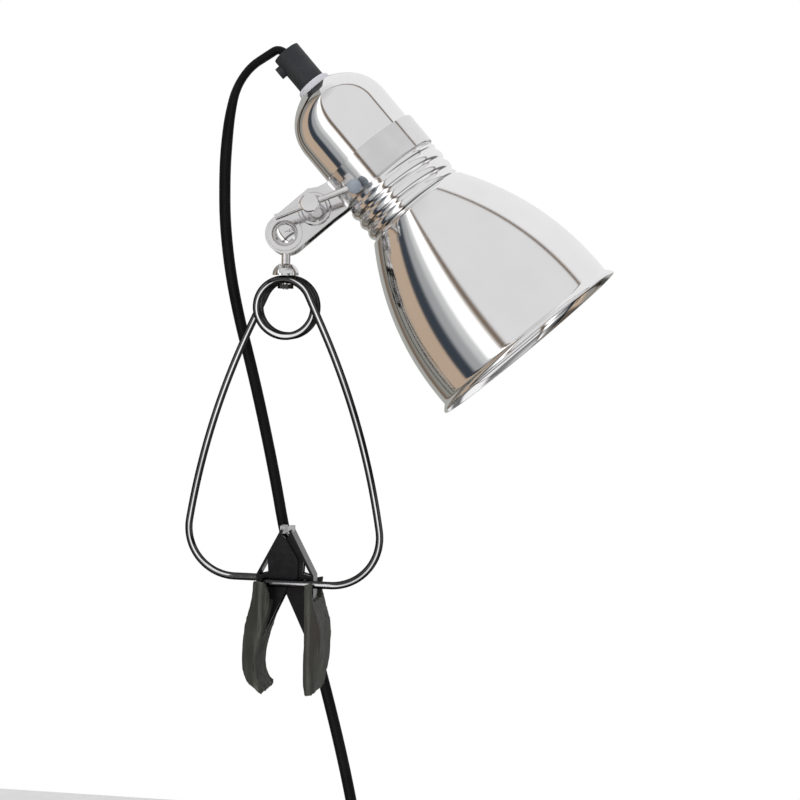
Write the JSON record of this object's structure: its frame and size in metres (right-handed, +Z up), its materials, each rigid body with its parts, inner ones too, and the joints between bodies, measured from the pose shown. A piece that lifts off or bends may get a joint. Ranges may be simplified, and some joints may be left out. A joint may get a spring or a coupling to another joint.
{
  "type": "clip-on reading lamp",
  "caption": "Clip-on reading lamp: polished bell head on a ball joint and thumb-screw strap, with a bent-wire squeeze clip whose rubber-covered jaws grip an edge.",
  "frame": {"origin": "between the two grips: on the middle plane of the jaws, at the middle of the clip's depth and level with the middle of the grips", "axes": "+Z up from the jaws to the head, +X towards the side that the head leans to, -Y the front, where the thumb screw is"},
  "size_m": [0.199, 0.1, 0.5185],
  "materials": {
    "spring_wire": "bright nickel-plated spring wire",
    "jaw_steel": "black enamelled pressed steel",
    "grip_rubber": "dark ribbed rubber",
    "apex_steel": "bare pressed steel",
    "joint_plating": "nickel plating, a little dull",
    "knob_plastic": "moulded matte plastic",
    "shade_aluminium": "polished spun sheet",
    "cap_aluminium": "polished pressed sheet",
    "collar_plastic": "moulded pale plastic",
    "gland_plastic": "moulded black plastic",
    "screw_steel": "zinc-plated steel",
    "holder_ceramic": "glazed lampholder porcelain",
    "ring_ceramic": "glazed lampholder porcelain",
    "contact_brass": "bare stamped brass",
    "lead_copper": "insulated copper cores",
    "bulb_cap": "rolled lamp cap",
    "bulb_glass": "frosted inside",
    "cord_rubber": "black flexible sheath",
    "tie_plastic": "soft black tie",
    "plug_rubber": "moulded black plug",
    "pin_brass": "nickel-plated brass"
  },
  "bodies": {
    "clip": {"spring_coil": "spring_wire", "stud_cup": "joint_plating"},
    "leg_left": {"leg_left": "spring_wire"},
    "leg_right": {"leg_right": "spring_wire"},
    "jaw_right": {"jaw_right": "jaw_steel", "grip_right": "grip_rubber", "apex_cap_right": "apex_steel"},
    "jaw_left": {"jaw_left": "jaw_steel", "grip_left": "grip_rubber", "apex_cap_left": "apex_steel"},
    "stud": {"ball_stud": "joint_plating", "stud_nut": "joint_plating", "cord_tube": "cord_rubber", "cord_coil": "cord_rubber", "cord_tie": "tie_plastic", "cord_tail": "cord_rubber", "plug_body": "plug_rubber", "plug_pins": "pin_brass"},
    "head": {"shade": "shade_aluminium", "socket_cap": "cap_aluminium", "cap_collar": "collar_plastic", "cord_gland": "gland_plastic", "gland_screw": "screw_steel", "threaded_nipple": "screw_steel", "lock_nut": "screw_steel", "holder_body": "holder_ceramic", "holder_ring": "ring_ceramic", "screw_shell": "contact_brass", "centre_contact": "contact_brass", "terminal_screws": "contact_brass", "inner_leads": "lead_copper", "bulb_base": "bulb_cap", "bulb_glass": "bulb_glass", "strap": "joint_plating", "clamp_nut": "joint_plating"},
    "thumb": {"thumb_screw": "joint_plating", "thumb_bar": "joint_plating", "thumb_knob": "knob_plastic"}
  },
  "joints": [
    {"name": "swivel", "type": "hinge", "parent": "clip", "child": "stud", "pos_m": [-0.0023, -0.0033, 0.2007], "axis": [0, 0, 1], "range_deg": [-40, 40]},
    {"name": "head_tilt", "type": "hinge", "parent": "stud", "child": "head", "pos_m": [-0.0023, -0.0033, 0.2007], "axis": [0.117, -0.9877, 0.1039], "range_deg": [-15, 60], "deforming": ["cord_tube"]},
    {"name": "thumb_turn", "type": "hinge", "parent": "head", "child": "thumb", "pos_m": [0.0107, -0.00055, 0.21224], "axis": [0.117, -0.9877, 0.1039], "range_deg": [0, 270]},
    {"name": "squeeze", "type": "hinge", "parent": "clip", "child": "leg_left", "pos_m": [-0.0023, 0, 0.1672], "axis": [0, -1, 0], "range_deg": [0, 3.5], "stiffness_Nm_per_rad": 20},
    {"name": "squeeze_right", "type": "hinge", "parent": "clip", "child": "leg_right", "pos_m": [-0.0023, 0, 0.1672], "axis": [0, -1, 0], "range_deg": [-3.5, 0]},
    {"name": "jaw_right_turn", "type": "hinge", "parent": "leg_left", "child": "jaw_right", "pos_m": [0.009, 0, 0.0397], "axis": [0, -1, 0], "range_deg": [0, 15.75]},
    {"name": "jaw_left_turn", "type": "hinge", "parent": "leg_right", "child": "jaw_left", "pos_m": [-0.009, 0, 0.0397], "axis": [0, -1, 0], "range_deg": [-15.75, 0]}
  ],
  "couplings": [
    {"joint": "squeeze_right", "follows": "squeeze", "ratio": -1},
    {"joint": "jaw_right_turn", "follows": "squeeze", "ratio": 4.5},
    {"joint": "jaw_left_turn", "follows": "squeeze", "ratio": -4.5}
  ]
}
